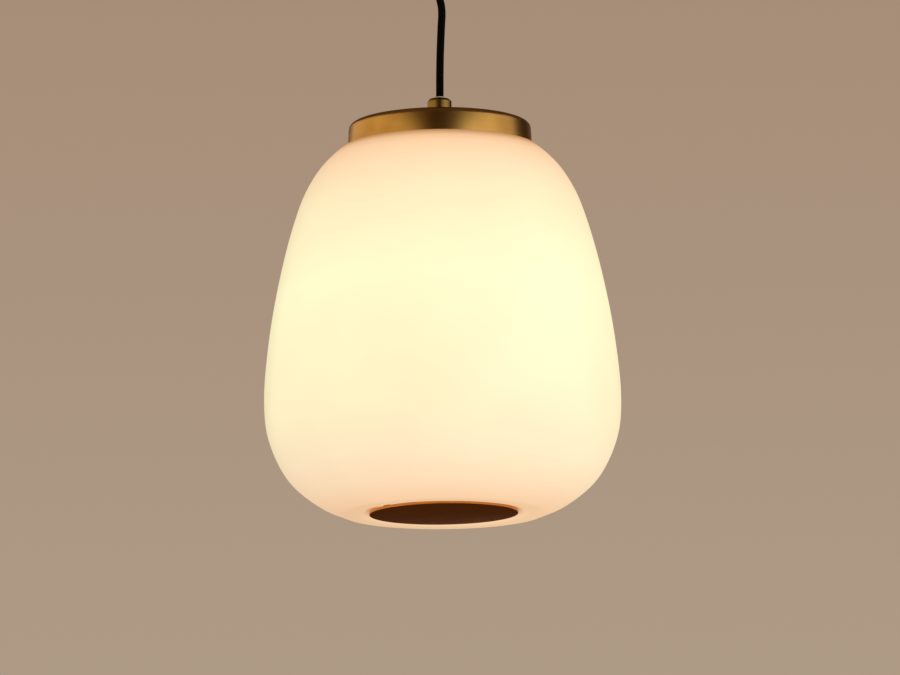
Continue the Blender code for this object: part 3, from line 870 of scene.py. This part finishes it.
def makeHolder(shape):
    crown = smoothLine(shape["crown"], 5) + shape["lining"]
    cap = turnedPiece("holder_crown", crown, lampFoot, shape["sides"])
    fit(cap, "lamp", phenolic, "black_phenolic", "holder_cap")
    skirt = turnedPiece("holder_skirt", rounded(shape["body"]), lampFoot, shape["sides"])
    fit(skirt, "lamp", phenolic, "black_phenolic", "holder_body")


def makeBulb(shape):
    ball = arc((0, shape["centre"]), shape["radius"], -90, 50, 28)
    outside = ball + smoothLine([ball[-1], *shape["neck"]], 4)[1:]
    inside = offsetInward(outside, -shape["wall"])
    inside[0] = (0, inside[0][1])
    outside[0] = (0, outside[0][1])
    globe = turnedPiece("bulb_envelope", outside + inside[::-1], lampFoot, shape["sides"])
    fit(globe, "bulb", frosted, "frosted_bulb_glass", "bulb_globe")


def makeThread(shape):
    top, foot, middle = shape["top"], shape["foot"], shape["middle"]

    # the coil: only the rings at the middle radius swell, each a bit further round than the one above
    def coil(radius, height, angle):
        if radius != middle:
            return 0
        fade = min(1, (top - height) / shape["runOut"], (height - foot) / shape["runOut"])
        return shape["swell"] * max(0, fade) * math.cos(math.tau * height / shape["pitch"] - angle)

    count = round((top - foot) / shape["pitch"] * shape["ringsPerTurn"])
    coils = [(middle, top - (top - foot) * step / count) for step in range(count + 1)]
    outline = [*shape["above"], *coils, *shape["below"]]
    base = turnedPiece("bulb_thread", outline, lampFoot, shape["sides"], coil)
    fit(base, "bulb", machinedBrass, "bright_brass", "bulb_base")


makeHolder(holderShape)
makeBulb(bulbShape)
makeThread(threadShape)
print("holder and bulb made")


# finishes on the other parts
steelParts = ["ceiling_bracket", "canopy_grip_nut", "canopy_grip_screw", "cord_grip_screw", "threaded_nipple",
              "cap_washer", "cap_nut", "retaining_plate", "plate_washer", "plate_nut", "bulb_contact"]
brassParts = ["bracket_earth_screw", "holder_thread", "holder_screw_1", "holder_screw_2"]
brassParts += [f"terminal_screw_{number}" for number in range(1, 7)]
partFinishes = [
    (zincSteel, steelParts),
    (machinedBrass, brassParts),
    (porcelain, ["terminal_block", "holder_insert"]),
    (phenolic, ["bulb_insulator"]),
    (flex, ["cord_upper_end", "cord_lower_end"]),
    (brownCore, ["upper_live_wire", "lower_live_wire"]),
    (blueCore, ["upper_neutral_wire", "lower_neutral_wire"]),
    (earthCore, ["upper_earth_wire"]),
    (silicone, ["glass_gasket"]),
    (clearGlass, ["bulb_stem"]),
    (tungsten, ["bulb_filament"]),
    (springBronze, ["holder_contact"]),
]
for finish, names in partFinishes:
    for name in names:
        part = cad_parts[name].data
        part.materials.clear()
        part.materials.append(finish)
print("parts finished")


# room and lights
roomLook = {
    "wallTop": "#A68C77",  # what stands behind the lamp, above and below
    "wallFoot": "#AF9C87",
    "wallFade": (0.12, 0.23),  # where it changes from the one to the other, as the rise of the line of sight
    "dim": "#26170E",  # the unlit side of the room, as the brass reflects it
    "ceiling": "#756350",
    "low": "#64401F",  # the shaded lower half of the room, as the disc reflects it
    "behindFade": (0.75, 0.98),  # the reflected wall goes over to the dim side by how far back it is
    "lowFade": (-0.1, 0.05),
    "ceilingFade": (0.25, 0.65),
    "reflected": 0.6,  # strength of the room beside the wall that is seen
}
floorLook = {
    "body": "#3A3228",
    "glow": "#B5A38E",
    "strength": 0.9,
    "depth": 8.5,
    "size": 160.0,
}
lightSetup = [
    # name, place, size, power, colour
    ("right_softbox", (2.6, -3.85, 0.15), (6.5, 2.0), 65.0, "#F4FFFF"),
    ("right_edge", (2.6, 0.15, 0.15), (1.5, 2.0), 8.5, "#FFFFF2"),
    ("left_softbox", (-2.6, -1.7, 0.15), (11.0, 2.0), 66.0, "#FFF1CD"),
]
fillSetup = {
    "height": 3.0,
    "size": 3.0,
    "power": 70.0,
    "colour": "#FFF1E0",
}


# the wall that is seen, and the room that the brass reflects instead of it
def makeWorld(look):
    world = bpy.data.worlds.new("studio")
    bpy.context.scene.world = world
    world.use_nodes = True
    tree = world.node_tree
    tree.nodes.clear()
    direction = addNode(tree, "ShaderNodeTexCoord").outputs["Generated"]
    place = addNode(tree, "ShaderNodeSeparateXYZ", {"Vector": direction}).outputs
    rise = spreadTo(tree, place["Z"], 0.0, 1.0, *look["wallFade"])
    wallColour = blendColours(tree, rise, look["wallFoot"], look["wallTop"])
    wall = addNode(tree, "ShaderNodeBackground", {"Color": wallColour})
    behind = spreadTo(tree, place["Y"], 0.0, 1.0, *look["behindFade"])
    above = spreadTo(tree, place["Z"], 0.0, 1.0, *look["lowFade"])
    high = spreadTo(tree, place["Z"], 0.0, 1.0, *look["ceilingFade"])
    front = blendColours(tree, high, look["dim"], look["ceiling"])
    upper = blendColours(tree, behind, front, look["wallTop"])
    roomColour = blendColours(tree, above, look["low"], upper)
    room = addNode(tree, "ShaderNodeBackground", {"Color": roomColour, "Strength": look["reflected"]})
    seen = addNode(tree, "ShaderNodeLightPath").outputs["Is Camera Ray"]
    inputs = {0: seen, 1: room.outputs["Background"], 2: wall.outputs["Background"]}
    both = addNode(tree, "ShaderNodeMixShader", inputs)
    addNode(tree, "ShaderNodeOutputWorld", {"Surface": both.outputs["Shader"]})


# pale floor far below, with a glow of its own; the brass doesn't reflect it
def makeFloor(look):
    mesh = bpy.data.meshes.new("studio_floor")
    shape = bmesh.new()
    bmesh.ops.create_grid(shape, x_segments=1, y_segments=1, size=look["size"] / 2)
    shape.to_mesh(mesh)
    shape.free()
    material, tree = newMaterial("pale_floor")
    coatSurface(tree, {
        "Base Color": hexToLinear(look["body"]),
        "Roughness": 0.9,
        "Specular IOR Level": 0.1,
        "Emission Color": hexToLinear(look["glow"]),
        "Emission Strength": look["strength"],
    })
    mesh.materials.append(material)
    floor = linkObject("studio_floor", mesh)
    floor.location.z = -look["depth"]
    floor.visible_glossy = False


# long soft lights at both sides, turned towards the lamp
def makeLights(setup):
    for name, place, size, power, colour in setup:
        light = bpy.data.lights.new(name, "AREA")
        light.shape = "RECTANGLE"
        light.size, light.size_y = size
        light.energy = power
        light.color = hexToLinear(colour)[:3]
        softbox = linkObject(name, light)
        softbox.location = place
        turn = 90 if place[0] > 0 else -90
        softbox.rotation_euler = (math.radians(90), 0, math.radians(turn))
        softbox.visible_camera = False


# lights what is matt from above, such as the wires and blocks in the canopy; brass doesn't reflect it
def makeFill(setup):
    light = bpy.data.lights.new("ceiling_fill", "AREA")
    light.size = setup["size"]
    light.energy = setup["power"]
    light.color = hexToLinear(setup["colour"])[:3]
    fill = linkObject("ceiling_fill", light)
    fill.location.z = setup["height"]
    fill.visible_camera = False
    fill.visible_glossy = False


makeWorld(roomLook)
makeFloor(floorLook)
makeLights(lightSetup)
makeFill(fillSetup)
print("room lit")
